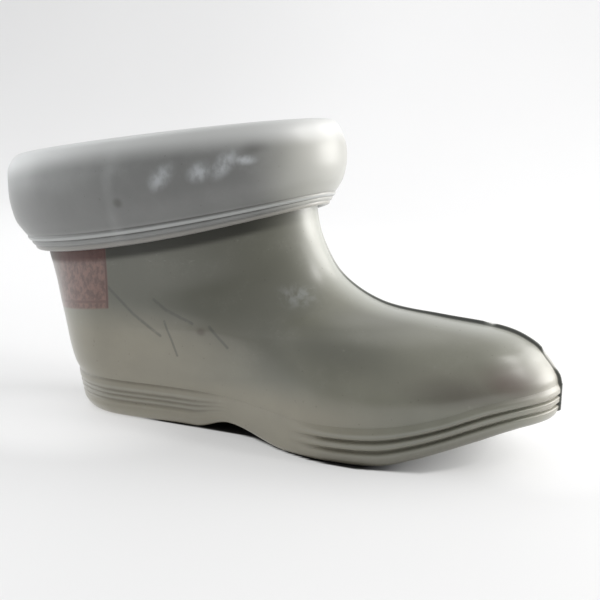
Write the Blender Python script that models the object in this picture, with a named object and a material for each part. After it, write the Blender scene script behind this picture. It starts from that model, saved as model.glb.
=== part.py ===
# Dielectric overshoe boot for the right foot, standing empty on its sole.
# Pieces: outsole (a tray with ribbed sides), insole, upper (hollow foot and shaft) and turned-down cuff.
# The toe points along +X, the inner side of the foot lies at +Y, and the floor is z = 0.

import math
from collections import namedtuple

import bmesh
import bpy
import numpy as np
from mathutils import Matrix, Vector

MM = 0.001

# Driving sizes, in millimetres, measured from the back of the heel and from the floor
LENGTH = 320.0            # heel to toe
BALL_HALF = 61.0          # outer half width at the ball
HEEL_HALF = 44.0          # half width of the heel
SHAFT_HALF = 54.0         # half width of the shaft at the fold
INSTEP_HEIGHT = 81.0      # top of the vamp in front of the throat
HEEL_RIM = 24.5           # height of the sole's rim at the heel
TOE_RIM = 44.5            # and at the toe
SHAFT_TOP_BACK = 159.0    # height of the shaft's fold at the back
SHAFT_TOP_FRONT = 187.5   # and at the front
WAIST_DRAW = 9.0          # how far the waist is drawn in on each side
OUTER_TOE = 2.1           # fullness of the toe's outer side, 2 is an ellipse
INNER_TOE = 2.7           # and of its inner side
TIP_REACH = 150.0         # length over which the toe swings to the inner side

# Sole sizes
HEEL_BREAST = 107.0       # where the heel leaves the floor
BREAST_RUN = 27.0         # length of its rise to the arch
ARCH_LIFT = 7.0
ARCH_END = 178.0          # where the forefoot meets the floor
HEEL_ROUND = 22.0         # length of the bevel under the back of the heel
HEEL_BEVEL = 4.5          # and its height
HEEL_RAKE = 6.0           # how far the back of the heel slopes in towards the floor
SOLE_WALL = 3.0           # side wall of the tray
HEEL_RIBS_END = 138.0     # where the fine ribs of the heel have run out
FORE_RIBS_START = 178.0   # where the ribs of the forefoot begin
RIB_FADE_RUN = 34.0

# Wall and fit
WALL = 2.8
FIT_GAP = 0.3
INSOLE_THICKNESS = 4.0
SEAM_HEIGHT = 1.7         # raised centre seam of the vamp
SEAM_HALF = 0.8
SEAM_FOOT = 1.5
SEAM_ROWS = (0.0, 9.0)    # the seam runs between these rows of the section table
SEAM_TAPER = 1.5          # rows over which its upper end runs out

# Tread: bars across the sole, cut by grooves
TREAD_DEPTH = 2.5
TREAD_WIDTH = 4.0
TREAD_MARGIN = 13.0       # solid edge left around the grooves
FOREFOOT_GROOVES = (178.0, 288.0, 10)     # first place, last place, number
HEEL_GROOVES = (26.0, 98.0, 7)

# Mesh density
HALF_STEPS = 28           # points along each side of a ring
UPPER_RINGS = 22
LINING_STEP = 2           # the inner face of the upper uses every second ring

# Each row is one ring of the upper: its back and front end, then the length and half width of the
# rounded heel end and of the rounded outer and inner sides of the nose, then the swing of the tip.
Section = namedtuple("Section", "back_x back_z front_x front_z heel_run heel_half "
                                "outer_run outer_half inner_run inner_half tip")
SECTIONS = (
    Section(2, HEEL_RIM, LENGTH - 0.5, TOE_RIM, 46, HEEL_HALF, 114, BALL_HALF, 106, BALL_HALF - 5, 6),
    Section(-0.5, 29, LENGTH - 2, 50, 46, HEEL_HALF + 1, 113, BALL_HALF + 0.5, 106, BALL_HALF - 4.5, 6),
    Section(-3, 35, LENGTH - 7.5, 57.6, 47, HEEL_HALF + 1.5, 112, BALL_HALF - 1, 106, BALL_HALF - 6, 6),
    Section(-5, 42, LENGTH - 16, 66.2, 48, HEEL_HALF + 2, 112, BALL_HALF - 4.2, 106, BALL_HALF - 9, 5.5),
    Section(-7, 49, LENGTH - 34, 73, 50, HEEL_HALF + 2, 113, BALL_HALF - 8, 106, BALL_HALF - 12, 4.5),
    Section(-9.5, 57.5, LENGTH - 70, 76.4, 53, HEEL_HALF + 2,
            111, BALL_HALF - 11.3, 105, BALL_HALF - 14.5, 3),
    Section(-13, 68, LENGTH - 106, INSTEP_HEIGHT, 58, HEEL_HALF + 2,
            104, BALL_HALF - 12.5, 100, BALL_HALF - 15, 2),
    Section(-17.5, 82, LENGTH - 132, 95, 68, SHAFT_HALF - 7.5, 96, SHAFT_HALF - 7, 94, SHAFT_HALF - 9, 1),
    Section(-23.5, 98, LENGTH - 145.5, 115, 82, SHAFT_HALF - 6,
            92, SHAFT_HALF - 5.5, 92, SHAFT_HALF - 6.5, 0),
    Section(-29, 116, LENGTH - 151.5, 136, 94, SHAFT_HALF - 4, 93, SHAFT_HALF - 3.5, 93, SHAFT_HALF - 4, 0),
    Section(-33.5, 137, LENGTH - 153.5, 161.5, 102, SHAFT_HALF - 1.5,
            95, SHAFT_HALF - 1, 95, SHAFT_HALF - 1.5, 0),
    Section(-37, SHAFT_TOP_BACK, LENGTH - 152, SHAFT_TOP_FRONT, 107, SHAFT_HALF + 1,
            97, SHAFT_HALF + 1, 97, SHAFT_HALF + 1, 0),
)
TOP_ROW = len(SECTIONS) - 1
RIM_BLEND = 4.6           # rows over which the rings straighten out above the sole's rim
VAMP_FALL = 7.0           # how far the vamp falls from its crest to its sides
FALL_POWER = 1.6          # shape of that arch, 2 is a parabola
FALL_ROWS = (1.0, 3.0)    # rows over which it sets in above the rim
FALL_RISE = (180.0, 245.0)     # places along the foot between which it sets in
FALL_END = (255.0, 305.0)      # and between which it runs out

# Height of the sole's rim along the foot
RimPoint = namedtuple("RimPoint", "x z")
RIM_LINE = (
    RimPoint(0, HEEL_RIM),
    RimPoint(50, HEEL_RIM - 0.3),
    RimPoint(95, HEEL_RIM - 0.5),
    RimPoint(135, 23.8),
    RimPoint(180, 21.4),
    RimPoint(215, 21.8),
    RimPoint(240, 24.6),
    RimPoint(265, 30.8),
    RimPoint(290, 39.6),
    RimPoint(LENGTH, TOE_RIM),
)

# Height of the tread from where the toe begins to rise
SpringPoint = namedtuple("SpringPoint", "x z")
SPRING_LINE = (
    SpringPoint(222, 0),
    SpringPoint(236, 1.2),
    SpringPoint(250, 5.3),
    SpringPoint(268, 11.7),
    SpringPoint(286, 18.2),
    SpringPoint(301, 23.0),
    SpringPoint(311, 24.6),
    SpringPoint(LENGTH, 25),
)

# Thickness of the tray's floor along the foot
FloorPoint = namedtuple("FloorPoint", "x thickness")
FLOOR_LINE = (
    FloorPoint(0, 13),
    FloorPoint(80, 12),
    FloorPoint(150, 8.5),
    FloorPoint(220, 7.5),
    FloorPoint(270, 5.6),
    FloorPoint(LENGTH, 4.5),
)

# Side of the sole from the floor up: rise as a share of the rim's height, then the inset from the
# rim's outline at the heel with three fine grooves, in the plain waist, and at the forefoot with two
SideStep = namedtuple("SideStep", "rise heel waist fore")
SOLE_SIDE = (
    SideStep(0.00, 4.6, 3.2, 3.2),
    SideStep(0.03, 2.6, 1.4, 1.4),
    SideStep(0.11, 0.9, 0.0, 0.0),
    SideStep(0.24, -0.5, -0.3, -0.9),
    SideStep(0.33, -0.5, -0.3, -1.0),
    SideStep(0.39, -0.6, -0.3, 0.7),
    SideStep(0.46, 0.0, -0.3, -1.2),
    SideStep(0.53, -0.7, -0.3, -1.3),
    SideStep(0.60, -0.1, -0.3, -1.3),
    SideStep(0.66, -0.7, -0.3, 0.5),
    SideStep(0.72, -0.1, -0.3, -1.4),
    SideStep(0.80, -0.7, -0.3, -1.5),
    SideStep(0.88, -0.6, -0.3, -1.2),
    SideStep(0.95, -0.4, -0.2, -0.5),
    SideStep(1.00, -0.1, -0.1, -0.2),
)
TOE_SEAM_RISE = 0.18      # the vamp's seam runs on down the toe of the sole to this rise
TOE_SEAM_PROUD = 2.4      # and stands this far in front of the rim

# Middle of the cuff's wall from the inner leg over the fold to its free edge, with the wall's thickness.
# Down is measured below the fold, out is measured from the shaft's face.
FLAP_DEPTH = 56.0         # nominal, stretched to the rows below
FLAP_ROWS_BACK = 2.8      # rows of the section table that the flap covers at the back
FLAP_ROWS_FRONT = 1.85    # and at the front
FLAP_DROOP = 6.3          # how much lower the free edge hangs on the sides
DROOP_START = 0.3
LEG_DEPTH = 14.0          # depth of the inner leg, which stands on the upper
Fold = namedtuple("Fold", "down out thick")
CUFF_FOLD = (
    Fold(LEG_DEPTH, -WALL / 2, WALL),
    Fold(5.0, -WALL / 2, WALL),
    Fold(0.5, 0.3, 2.9),
    Fold(-1.6, 3.9, 3.0),
    Fold(-1.2, 8.2, 3.0),
    Fold(2.6, 12.0, 3.0),
    Fold(7.5, 14.6, 3.0),
    Fold(15.0, 16.4, 3.0),
    Fold(26.0, 17.4, 3.0),
    Fold(36.0, 15.8, 3.0),
    Fold(43.0, 12.6, 3.0),
    Fold(46.6, 10.3, 3.0),
    Fold(48.0, 9.4, 4.4),
    Fold(49.6, 8.3, 3.2),
    Fold(51.2, 7.3, 4.4),
    Fold(52.8, 6.4, 3.2),
    Fold(54.4, 5.5, 4.4),
    Fold(FLAP_DEPTH, 4.7, 3.2),
)

# Finish of each piece: colour, roughness
FINISH = {
    "outsole": ((0.22, 0.21, 0.16, 1.0), 0.45),
    "insole": ((0.42, 0.40, 0.34, 1.0), 0.85),
    "upper": ((0.24, 0.235, 0.185, 1.0), 0.35),
    "cuff": ((0.25, 0.26, 0.255, 1.0), 0.40),
}


# Curves

def catmull_rom(rows, place):
    # Value of a table of rows at a fractional row number, run on straight past its ends
    table = np.array(rows, dtype=float)
    last = len(table) - 1
    low = int(min(max(math.floor(place), 0), last - 1))
    u = place - low
    start, end = table[low], table[low + 1]
    before = table[low - 1] if low > 0 else 2 * start - end
    after = table[low + 2] if low + 2 <= last else 2 * end - start
    if place > last:
        return end + (end - start) * (u - 1)
    return 0.5 * (2 * start + (end - before) * u + (2 * before - 5 * start + 4 * end - after) * u ** 2
                  + (3 * start - before - 3 * end + after) * u ** 3)


def along(points, x):
    # Smooth height through a table of places and values
    places = [point[0] for point in points]
    x = min(max(x, places[0]), places[-1])
    low = max(i for i in range(len(places) - 1) if places[i] <= x)
    u = (x - places[low]) / (places[low + 1] - places[low])
    return float(catmull_rom([(point[1],) for point in points], low + u)[0])


def smooth_step(low, high, x):
    u = min(max((x - low) / (high - low), 0.0), 1.0)
    return u * u * (3 - 2 * u)


def tread_height(x):
    # Height of the underside: heel bevel, flat heel, arch, flat forefoot and toe spring
    height = HEEL_BEVEL * max(1 - max(x, 0) / HEEL_ROUND, 0) ** 2
    height += ARCH_LIFT * smooth_step(HEEL_BREAST, HEEL_BREAST + BREAST_RUN, x) \
        * (1 - smooth_step(HEEL_BREAST + BREAST_RUN, ARCH_END, x))
    return height + along(SPRING_LINE, x)


def tread_slope(x):
    return (tread_height(x + 0.5) - tread_height(x - 0.5))


def rim_height(x):
    return along(RIM_LINE, x)


def floor_height(x):
    return tread_height(max(x, HEEL_ROUND)) + along(FLOOR_LINE, x)


def heel_ribs(x):
    return 1 - smooth_step(HEEL_RIBS_END - RIB_FADE_RUN, HEEL_RIBS_END, x)


def fore_ribs(x):
    return smooth_step(FORE_RIBS_START, FORE_RIBS_START + RIB_FADE_RUN, x)


# Rings

def section_at(back_row, front_row):
    # Section whose back end lies on one row of the table and whose front end lies on another
    back = Section(*catmull_rom(SECTIONS, back_row))
    front = Section(*catmull_rom(SECTIONS, front_row))
    return front._replace(back_x=back.back_x, back_z=back.back_z,
                          heel_run=back.heel_run, heel_half=back.heel_half)


def half_width(section, x, outer, waist):
    run, half = (section.outer_run, section.outer_half) if outer else (section.inner_run, section.inner_half)
    heel_end = section.back_x + section.heel_run
    nose_start = section.front_x - run
    if x < heel_end and x < nose_start:
        return section.heel_half * math.sqrt(max(1 - ((heel_end - x) / section.heel_run) ** 2, 0))
    if x > nose_start:
        share = (x - nose_start) / run
        return half * math.sqrt(max(1 - share ** (OUTER_TOE if outer else INNER_TOE), 0))
    u = (x - heel_end) / (nose_start - heel_end)
    level = section.heel_half + (half - section.heel_half) * u * u * (3 - 2 * u)
    return level - waist * 16 * (u * (1 - u)) ** 2


def tip_swing(section, x):
    return section.tip * min(max((x - section.front_x + TIP_REACH) / TIP_REACH, 0), 1) ** 2


def ring(section, offset=0.0, waist=0.0, seam=False):
    # Closed ring from the back along the outer side to the front and home along the inner side
    grown = section._replace(
        back_x=section.back_x - offset, front_x=section.front_x + offset,
        heel_run=section.heel_run + offset, heel_half=section.heel_half + offset,
        outer_run=section.outer_run + offset, outer_half=section.outer_half + offset,
        inner_run=section.inner_run + offset, inner_half=section.inner_half + offset)
    reach = grown.front_x - grown.back_x
    angles = [math.pi * i / HALF_STEPS for i in range(HALF_STEPS + 1)]
    if seam:
        spread = 0.5 * grown.outer_half * math.sqrt(OUTER_TOE * reach / grown.outer_run)
        angles[-1:-1] = [math.pi - SEAM_FOOT / spread, math.pi - SEAM_HALF / spread]
    sides = []
    for outer in (True, False):
        side = []
        for angle in angles:
            share = (1 - math.cos(angle)) / 2
            x = grown.back_x + reach * share
            z = grown.back_z + (grown.front_z - grown.back_z) * share
            swing = tip_swing(grown, x)
            y = half_width(grown, x, outer, waist)
            side.append((x, swing - y if outer else swing + y, z))
        sides.append(side)
    outer_side, inner_side = sides
    return np.array(outer_side + inner_side[-2:0:-1])


def vamp_fall(front_row, section, point):
    # How far a point sinks, so that the vamp is an arch with its crest under the seam
    across = point[1] - tip_swing(section, point[0])
    half = half_width(SECTIONS[1], point[0], across < 0, 0.0)
    if half < 1:
        return 0.0
    strength = smooth_step(*FALL_ROWS, front_row) * smooth_step(*FALL_RISE, point[0])
    strength *= 1 - smooth_step(*FALL_END, point[0])
    return VAMP_FALL * strength * min(abs(across) / half, 1) ** FALL_POWER


def foot_ring(back_row, front_row, seam=False):
    # Ring of the upper, bent down near the sole to follow the rim
    section = section_at(back_row, front_row)
    points = ring(section, 0.0, WAIST_DRAW * max(1 - back_row / RIM_BLEND, 0), seam)
    blend = max(1 - back_row / RIM_BLEND, 0) ** 2
    first = SECTIONS[0]
    for point in points:
        share = min(max((point[0] - first.back_x) / (first.front_x - first.back_x), 0), 1)
        chord = first.back_z + (first.front_z - first.back_z) * share
        point[2] += blend * (rim_height(point[0]) + FIT_GAP - chord) - vamp_fall(front_row, section, point)
    return points


def sole_ring(inset, height, rake=0.0):
    # Ring of the sole at a given inset from the rim's outline, lifted by a function of x
    first = SECTIONS[0]
    points = ring(first._replace(back_x=first.back_x + rake), -inset, WAIST_DRAW, seam=True)
    for point in points:
        point[2] = height(point[0])
    return points


# Solids

def add_rings(mesh, rings, closed):
    # Quads between neighbouring rings, and from the last back to the first where closed
    rows = [[mesh.verts.new(Vector(point) * MM) for point in points] for points in rings]
    pairs = list(zip(rows, rows[1:]))
    if closed:
        pairs.append((rows[-1], rows[0]))
    for low, high in pairs:
        count = len(low)
        for i in range(count):
            j = (i + 1) % count
            mesh.faces.new((low[i], low[j], high[j], high[i]))
    return rows


def add_ladder(mesh, row):
    # Cap of a ring, from side to side across the foot
    count = len(row)
    half = count // 2
    mesh.faces.new((row[0], row[1], row[-1]))
    for i in range(1, half - 1):
        mesh.faces.new((row[i], row[i + 1], row[count - i - 1], row[count - i]))
    mesh.faces.new((row[half - 1], row[half], row[half + 1]))


def finish_piece(name, mesh, smooth=True):
    bmesh.ops.recalc_face_normals(mesh, faces=mesh.faces)
    bmesh.ops.triangulate(mesh, faces=mesh.faces)
    for face in mesh.faces:
        face.smooth = smooth
    data = bpy.data.meshes.new(name)
    mesh.to_mesh(data)
    mesh.free()
    piece = bpy.data.objects.new(name, data)
    bpy.context.collection.objects.link(piece)
    return piece


def give_finish(piece):
    colour, roughness = FINISH[piece.name]
    material = bpy.data.materials.new(piece.name)
    material.use_nodes = True
    shader = material.node_tree.nodes["Principled BSDF"]
    shader.inputs["Base Color"].default_value = colour
    shader.inputs["Roughness"].default_value = roughness
    shader.inputs["Metallic"].default_value = 0.0
    piece.data.materials.append(material)


# Upper

def seam_points():
    # Places in a ring of the three points that stand on the crest of the seam
    front = HALF_STEPS + 2
    return [front - 1, front, front + 1]


def seam_strength(row):
    start, end = SEAM_ROWS
    return 1.0 if start <= row <= end - SEAM_TAPER else max((end - row) / SEAM_TAPER, 0.0)


def grid_normals(rings):
    # Outward direction at every point of a stack of rings
    grid = np.array(rings)
    around = np.roll(grid, -1, axis=1) - np.roll(grid, 1, axis=1)
    upward = np.gradient(grid, axis=0)
    normal = np.cross(around, upward)
    normal /= np.linalg.norm(normal, axis=2, keepdims=True)
    centre = grid.mean(axis=1, keepdims=True)
    facing = ((grid - centre) * normal).sum(axis=2).mean()
    return normal if facing > 0 else -normal


def upper_rows():
    # Back and front row numbers of each ring, ending just under the cuff's inner leg
    share = (LEG_DEPTH + FIT_GAP) / FLAP_DEPTH
    top_back = TOP_ROW - FLAP_ROWS_BACK * share
    top_front = TOP_ROW - FLAP_ROWS_FRONT * share
    steps = [i / (UPPER_RINGS - 1) for i in range(UPPER_RINGS)]
    return [(top_back * step, top_front * step) for step in steps]


def make_upper():
    rows = upper_rows()
    rings = [foot_ring(back, front, seam=True) for back, front in rows]
    normals = grid_normals(rings)
    outside = []
    inside = []
    for (back_row, front_row), points, normal in zip(rows, rings, normals):
        face = points.copy()
        level = Vector((1.0, 1.0, min(front_row, 1.0)))
        for i in seam_points():
            face[i] += normal[i] * level * SEAM_HEIGHT * seam_strength(front_row)
        outside.append(face)
        inside.append(points - normal * WALL)
    inside[-1] = ring(section_at(*rows[-1]), -WALL, seam=True)
    for point in inside[0]:
        point[2] = rim_height(point[0]) + FIT_GAP
    lining = inside[:-1:LINING_STEP] + inside[-1:]
    mesh = bmesh.new()
    add_rings(mesh, outside + lining[::-1], closed=True)
    return finish_piece("upper", mesh)


# Cuff

def cuff_profile():
    # Closed outline of the cuff's wall: its open face, then its hidden face back to the start
    middle = np.array([(fold.down, fold.out) for fold in CUFF_FOLD])
    travel = np.gradient(middle, axis=0)
    travel /= np.linalg.norm(travel, axis=1, keepdims=True)
    side = np.stack([-travel[:, 1], travel[:, 0]], axis=1)
    half = np.array([[fold.thick / 2] for fold in CUFF_FOLD])
    return list(middle + side * half) + list((middle - side * half)[::-1])


def cuff_ring(down, out):
    share = down / FLAP_DEPTH
    section = section_at(TOP_ROW - FLAP_ROWS_BACK * share, TOP_ROW - FLAP_ROWS_FRONT * share)
    points = ring(section, out)
    droop = FLAP_DROOP * max((share - DROOP_START) / (1 - DROOP_START), 0)
    back, front = points[:, 0].min(), points[:, 0].max()
    for point in points:
        place = (point[0] - back) / (front - back)
        point[2] -= droop * 4 * place * (1 - place)
    return points


def make_cuff():
    mesh = bmesh.new()
    add_rings(mesh, [cuff_ring(down, out) for down, out in cuff_profile()], closed=True)
    return finish_piece("cuff", mesh)


# Outsole

def side_height(step):
    return lambda x: tread_height(x) + (rim_height(x) - tread_height(x)) * step.rise


def side_ring(step):
    # Ring of the sole's side, blended along the foot from heel to waist to forefoot
    rake = HEEL_RAKE * (1 - step.rise)
    heel, waist, fore = (sole_ring(inset, side_height(step), rake) for inset in step[1:])
    at_heel = np.array([[heel_ribs(point[0])] for point in waist])
    at_fore = np.array([[fore_ribs(point[0])] for point in waist])
    points = waist + (heel - waist) * at_heel + (fore - waist) * at_fore
    if step.rise > TOE_SEAM_RISE:
        points[seam_points(), 0] = SECTIONS[0].front_x + TOE_SEAM_PROUD
    return points


def tread_cutter():
    # One block for each groove, tilted to the tread where it stands
    mesh = bmesh.new()
    outline = ring(SECTIONS[0], -TREAD_MARGIN, WAIST_DRAW)
    outer_side = outline[:HALF_STEPS + 1]
    inner_side = np.vstack([outline[HALF_STEPS:], outline[:1]])[::-1]
    for first, last, number in (FOREFOOT_GROOVES, HEEL_GROOVES):
        for x in np.linspace(first, last, number):
            low = np.interp(x, outer_side[:, 0], outer_side[:, 1])
            high = np.interp(x, inner_side[:, 0], inner_side[:, 1])
            place = Matrix.Translation(Vector((x, (low + high) / 2, tread_height(x))) * MM)
            tilt = Matrix.Rotation(-math.atan(tread_slope(x)), 4, "Y")
            size = Matrix.Diagonal(Vector((TREAD_WIDTH, high - low, 2 * TREAD_DEPTH)) * MM).to_4x4()
            bmesh.ops.create_cube(mesh, size=1.0, matrix=place @ tilt @ size)
    cutter = finish_piece("tread_cutter", mesh, smooth=False)
    cutter.hide_render = True
    cutter.display_type = "WIRE"
    return cutter


def make_outsole():
    inner = SOLE_WALL - 0.3
    rings = [side_ring(step) for step in SOLE_SIDE]
    rings.append(sole_ring(inner, rim_height))
    rings.append(sole_ring(inner, lambda x: floor_height(x) + 2.0))
    rings.append(sole_ring(inner + 2.0, floor_height))
    mesh = bmesh.new()
    rows = add_rings(mesh, rings, closed=False)
    add_ladder(mesh, rows[0])
    add_ladder(mesh, rows[-1])
    piece = finish_piece("outsole", mesh)
    cut = piece.modifiers.new("tread", "BOOLEAN")
    cut.operation = "DIFFERENCE"
    cut.solver = "EXACT"
    cut.object = tread_cutter()
    return piece


# Insole

def make_insole():
    inset = SOLE_WALL + 2.0 + FIT_GAP
    under = sole_ring(inset, lambda x: floor_height(x) + FIT_GAP)
    edge = sole_ring(inset, lambda x: floor_height(x) + FIT_GAP + INSOLE_THICKNESS - 1.0)
    top = sole_ring(inset + 1.0, lambda x: floor_height(x) + FIT_GAP + INSOLE_THICKNESS)
    mesh = bmesh.new()
    rows = add_rings(mesh, [under, edge, top], closed=False)
    add_ladder(mesh, rows[0])
    add_ladder(mesh, rows[-1])
    return finish_piece("insole", mesh)


def centre_on_floor(pieces):
    # Middle of the part's box over the origin
    corners = np.array([vertex.co for piece in pieces for vertex in piece.data.vertices])
    low, high = corners.min(axis=0), corners.max(axis=0)
    shift = Matrix.Translation((-(low[0] + high[0]) / 2, -(low[1] + high[1]) / 2, -low[2]))
    for item in bpy.data.objects:
        item.data.transform(shift)


def main():
    for item in list(bpy.data.objects):
        bpy.data.objects.remove(item, do_unlink=True)
    pieces = [make_outsole(), make_insole(), make_upper(), make_cuff()]
    for piece in pieces:
        give_finish(piece)
    centre_on_floor(pieces)


main()
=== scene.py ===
import math
from collections import namedtuple
from functools import reduce

import bmesh
import bpy
import numpy as np
from mathutils import Matrix, Vector


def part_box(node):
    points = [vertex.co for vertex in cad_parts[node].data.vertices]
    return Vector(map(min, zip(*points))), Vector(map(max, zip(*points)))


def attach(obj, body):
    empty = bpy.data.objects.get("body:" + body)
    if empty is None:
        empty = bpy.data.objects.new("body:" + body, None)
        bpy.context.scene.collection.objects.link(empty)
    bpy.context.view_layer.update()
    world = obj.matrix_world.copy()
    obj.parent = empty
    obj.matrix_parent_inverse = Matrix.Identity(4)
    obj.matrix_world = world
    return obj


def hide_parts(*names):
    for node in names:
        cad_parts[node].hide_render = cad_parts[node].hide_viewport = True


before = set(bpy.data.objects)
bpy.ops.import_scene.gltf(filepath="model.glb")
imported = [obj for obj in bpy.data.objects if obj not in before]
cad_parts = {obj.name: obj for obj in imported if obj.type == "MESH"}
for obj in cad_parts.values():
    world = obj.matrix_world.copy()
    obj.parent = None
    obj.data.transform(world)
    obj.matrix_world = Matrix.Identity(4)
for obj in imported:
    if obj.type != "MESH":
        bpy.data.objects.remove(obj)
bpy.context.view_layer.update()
mm = 0.001

# The boot's last. Lengths are millimetres from the back of the heel and from the floor.
form = {
    "outerToe": 2.1,  # fullness of the nose, 2 is an ellipse
    "innerToe": 2.7,
    "tipReach": 150,  # the toe swings to the inner side over this length
    "waistDraw": 9,
    "rimBlend": 4.6,  # rows over which the rings straighten out above the sole
    "wall": 2.8,
    "meet": 0.02,  # pieces of one moulding meet this close
    "vampFall": 7,  # fall of the vamp from its crest to its sides
    "fallPower": 1.6,  # and how round the arch between them is
    "fallRows": (1, 3), "fallRise": (180, 245), "fallEnd": (255, 305),
    "seamOffsets": [3.4, 2.4, 1.8, 1.45, 1.15, 0.8, 0.4, 0],  # points beside the centre seam
    "seamDropped": 2,  # which take the place of this many others
}
LastRow = namedtuple("LastRow", "backX backZ frontX frontZ heelRun heelHalf "
                                "outerRun outerHalf innerRun innerHalf tip")
lastRows = [LastRow(*values) for values in [
    (2, 24.5, 319.5, 44.5, 46, 44, 114, 61, 106, 56, 6),
    (-0.5, 29, 318, 50, 46, 45, 113, 61.5, 106, 56.5, 6),
    (-3, 35, 312.5, 57.6, 47, 45.5, 112, 60, 106, 55, 6),
    (-5, 42, 304, 66.2, 48, 46, 112, 56.8, 106, 52, 5.5),
    (-7, 49, 286, 73, 50, 46, 113, 53, 106, 49, 4.5),
    (-9.5, 57.5, 250, 76.4, 53, 46, 111, 49.7, 105, 46.5, 3),
    (-13, 68, 214, 81, 58, 46, 104, 48.5, 100, 46, 2),
    (-17.5, 82, 188, 95, 68, 46.5, 96, 47, 94, 45, 1),
    (-23.5, 98, 174.5, 115, 82, 48, 92, 48.5, 92, 47.5, 0),
    (-29, 116, 168.5, 136, 94, 50, 93, 50.5, 93, 50, 0),
    (-33.5, 137, 166.5, 161.5, 102, 52.5, 95, 53, 95, 52.5, 0),
    (-37, 159, 168, 187.5, 107, 55, 97, 55, 97, 55, 0),
]]
topRow = len(lastRows) - 1
rimPoints = [(0, 24.5), (50, 24.2), (95, 24), (135, 23.8), (180, 21.4), (215, 21.8),
             (240, 24.6), (265, 30.8), (290, 39.6), (320, 44.5)]
springPoints = [(222, 0), (236, 1.2), (250, 5.3), (268, 11.7), (286, 18.2), (301, 23),
                (311, 24.6), (320, 25)]
floorPoints = [(0, 13), (80, 12), (150, 8.5), (220, 7.5), (270, 5.6), (320, 4.5)]  # above the tread


def tableAt(rows, place):  # smooth value of a table at a fractional row number
    table = np.array(rows, dtype=float)
    last = len(table) - 1
    low = int(min(max(math.floor(place), 0), last - 1))
    u = place - low
    start, end = table[low], table[low + 1]
    before = table[low - 1] if low > 0 else 2 * start - end
    after = table[low + 2] if low + 2 <= last else 2 * end - start
    if place > last:
        return end + (end - start) * (u - 1)
    return 0.5 * (2 * start + (end - before) * u + (2 * before - 5 * start + 4 * end - after) * u ** 2
                  + (3 * start - before - 3 * end + after) * u ** 3)


def smoothLine(points, samples=640):  # dense copy of a table of places and values
    places = [place for place, value in points]
    dense = np.linspace(places[0], places[-1], samples)
    rows = np.interp(dense, places, np.arange(len(places)))
    return dense, np.array([tableAt([(value,) for place, value in points], row)[0] for row in rows])


def step(low, high, x):  # smooth rise from 0 to 1
    u = np.clip((np.asarray(x, dtype=float) - low) / (high - low), 0, 1)
    return u * u * (3 - 2 * u)


rimLine = smoothLine(rimPoints)
springLine = smoothLine(springPoints)
floorLine = smoothLine(floorPoints)


def rimHeight(x):
    return np.interp(x, *rimLine)


tread = {
    "heelRound": 22, "heelBevel": 4.5, "heelRake": 6,
    "breast": 107, "breastRun": 27, "archLift": 7, "archEnd": 178,
}


def treadHeight(x):  # underside: heel bevel, heel, arch, forefoot, toe spring
    x = np.asarray(x, dtype=float)
    breastEnd = tread["breast"] + tread["breastRun"]
    bevel = tread["heelBevel"] * np.clip(1 - np.maximum(x, 0) / tread["heelRound"], 0, 1) ** 2
    arch = step(tread["breast"], breastEnd, x) * (1 - step(breastEnd, tread["archEnd"], x))
    return bevel + tread["archLift"] * arch + np.interp(x, *springLine)


def floorHeight(x):
    return treadHeight(np.maximum(x, tread["heelRound"])) + np.interp(x, *floorLine)


def sectionAt(backRow, frontRow):  # back end on one row of the last, front end on another
    back = LastRow(*tableAt(lastRows, backRow))
    front = LastRow(*tableAt(lastRows, frontRow))
    return front._replace(backX=back.backX, backZ=back.backZ,
                          heelRun=back.heelRun, heelHalf=back.heelHalf)


def halfWidth(row, x, run, half, fullness, waist):
    heelEnd = row.backX + row.heelRun
    noseStart = row.frontX - run
    heel = row.heelHalf * np.sqrt(np.clip(1 - ((heelEnd - x) / row.heelRun) ** 2, 0, 1))
    nose = half * np.sqrt(np.clip(1 - np.clip((x - noseStart) / run, 0, 1) ** fullness, 0, 1))
    u = np.clip((x - heelEnd) / max(noseStart - heelEnd, 0.01), 0, 1)
    side = row.heelHalf + (half - row.heelHalf) * u * u * (3 - 2 * u) - waist * 16 * (u * (1 - u)) ** 2
    return np.where(x > noseStart, nose, np.where(x < heelEnd, heel, side))


def roundShares(steps):  # places along the foot, close together at both ends
    return (1 - np.cos(math.pi * np.arange(steps + 1) / steps)) / 2


def seamShares(row, steps):  # the same, with points beside the centre seam
    spread = 0.5 * row.outerHalf * math.sqrt(form["outerToe"] * (row.frontX - row.backX) / row.outerRun)
    beside = (1 + np.cos(np.array(form["seamOffsets"]) / spread)) / 2
    return np.append(roundShares(steps)[:-form["seamDropped"] - 1], beside)


def tipSwing(row, x):
    return row.tip * np.clip((x - row.frontX + form["tipReach"]) / form["tipReach"], 0, 1) ** 2


# points from the back along the outer side, and home along the inner
def ring(row, shares, offset=0, waist=0):
    grown = row._replace(
        backX=row.backX - offset, frontX=row.frontX + offset,
        heelRun=row.heelRun + offset, heelHalf=row.heelHalf + offset,
        outerRun=row.outerRun + offset, outerHalf=row.outerHalf + offset,
        innerRun=row.innerRun + offset, innerHalf=row.innerHalf + offset)
    x = grown.backX + (grown.frontX - grown.backX) * shares
    z = grown.backZ + (grown.frontZ - grown.backZ) * shares
    swing = tipSwing(grown, x)
    outer = swing - halfWidth(grown, x, grown.outerRun, grown.outerHalf, form["outerToe"], waist)
    inner = swing + halfWidth(grown, x, grown.innerRun, grown.innerHalf, form["innerToe"], waist)
    return np.vstack([np.stack([x, outer, z], 1), np.stack([x, inner, z], 1)[-2:0:-1]])


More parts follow.
